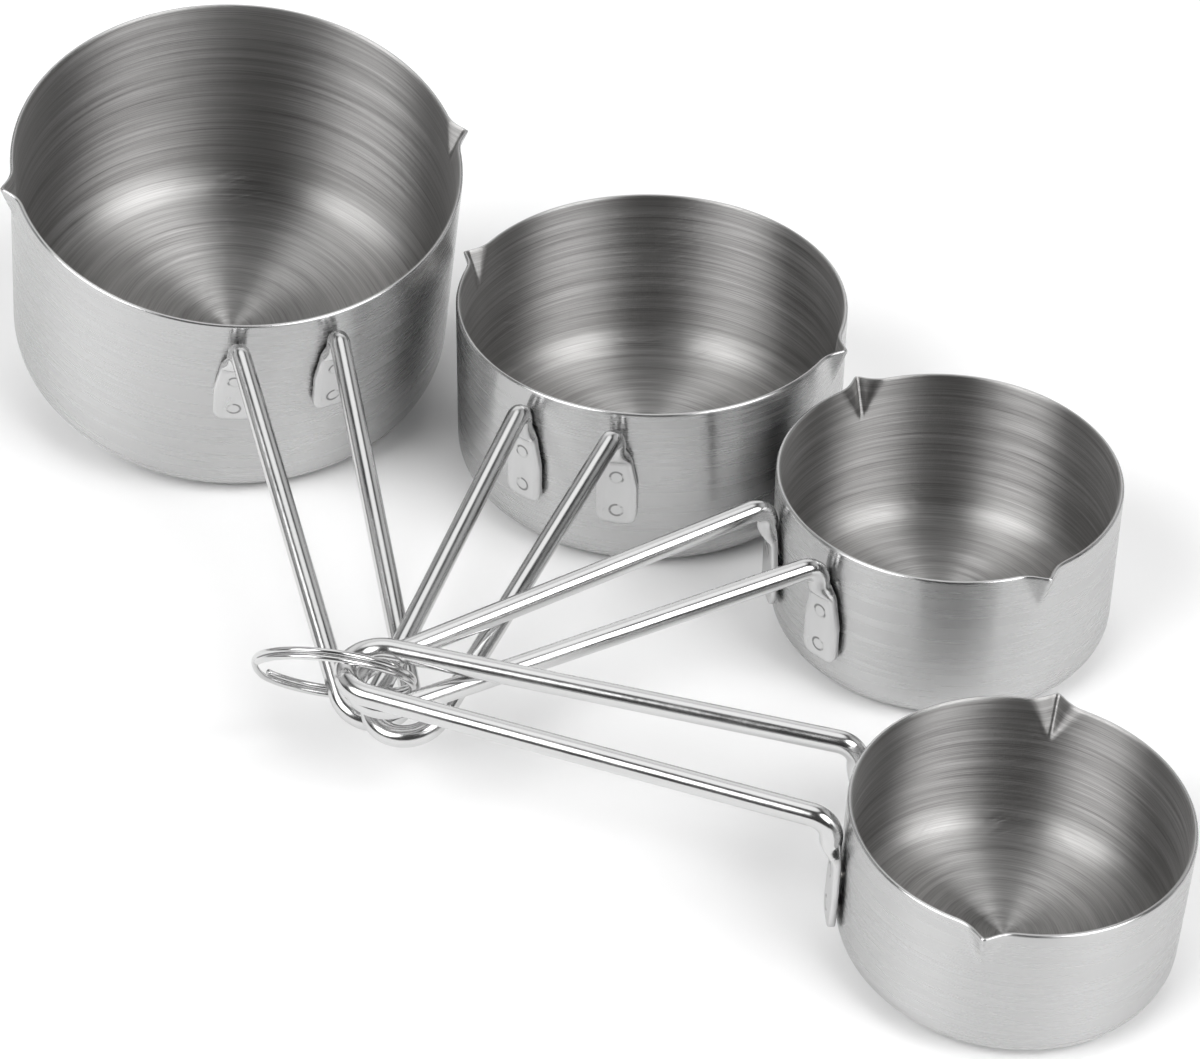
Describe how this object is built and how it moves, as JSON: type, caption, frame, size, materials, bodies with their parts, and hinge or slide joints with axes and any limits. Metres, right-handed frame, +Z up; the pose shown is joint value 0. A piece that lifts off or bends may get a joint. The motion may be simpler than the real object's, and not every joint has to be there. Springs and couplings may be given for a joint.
{
  "type": "measuring cup set",
  "caption": "Nest of drawn steel measuring cups with side spouts and hairpin wire handles, threaded on a split ring and fanned out on a table.",
  "frame": {"origin": "centre of the third cup's base, on the table", "axes": "+Z up, out of the third cup's mouth; -X from that cup towards the split ring; +Y from that cup towards the half cup"},
  "size_m": [0.1959, 0.2171, 0.0633],
  "materials": {
    "cup_steel": "satin outside, fine circumferential brushing inside",
    "handle_wire": "polished stainless wire",
    "ring_wire": "polished bright wire",
    "weld": "spot welded steel"
  },
  "bodies": {
    "third_cup_body": {"third_cup_shell": "cup_steel", "third_cup_handle": "handle_wire", "third_cup_left_welds": "weld", "third_cup_right_welds": "weld"},
    "half_cup_body": {"half_cup_shell": "cup_steel", "half_cup_handle": "handle_wire", "half_cup_left_welds": "weld", "half_cup_right_welds": "weld"},
    "one_cup_body": {"one_cup_shell": "cup_steel", "one_cup_handle": "handle_wire", "one_cup_left_welds": "weld", "one_cup_right_welds": "weld"},
    "quarter_cup_body": {"quarter_cup_shell": "cup_steel", "quarter_cup_handle": "handle_wire", "quarter_cup_left_welds": "weld", "quarter_cup_right_welds": "weld"},
    "ring_body": {"split_ring": "ring_wire"}
  },
  "joints": [
    {"name": "ring_turn", "type": "hinge", "parent": "third_cup_body", "child": "ring_body", "pos_m": [-0.10131, -0.04112, 0.0219], "axis": [-0.1211, -0.8026, -0.5841], "continuous": true},
    {"name": "half_cup_swing", "type": "hinge", "parent": "third_cup_body", "child": "half_cup_body", "pos_m": [-0.092, -0.037, 0.017], "axis": [0, 0, 1], "range_deg": [-1.5, 16]},
    {"name": "one_cup_swing", "type": "hinge", "parent": "half_cup_body", "child": "one_cup_body", "pos_m": [-0.0965, -0.035, 0.013], "axis": [0, 0, 1], "range_deg": [0, 28]},
    {"name": "quarter_cup_swing", "type": "hinge", "parent": "third_cup_body", "child": "quarter_cup_body", "pos_m": [-0.091, -0.0465, 0.028], "axis": [0, 0, 1], "range_deg": [-90, 6]}
  ]
}
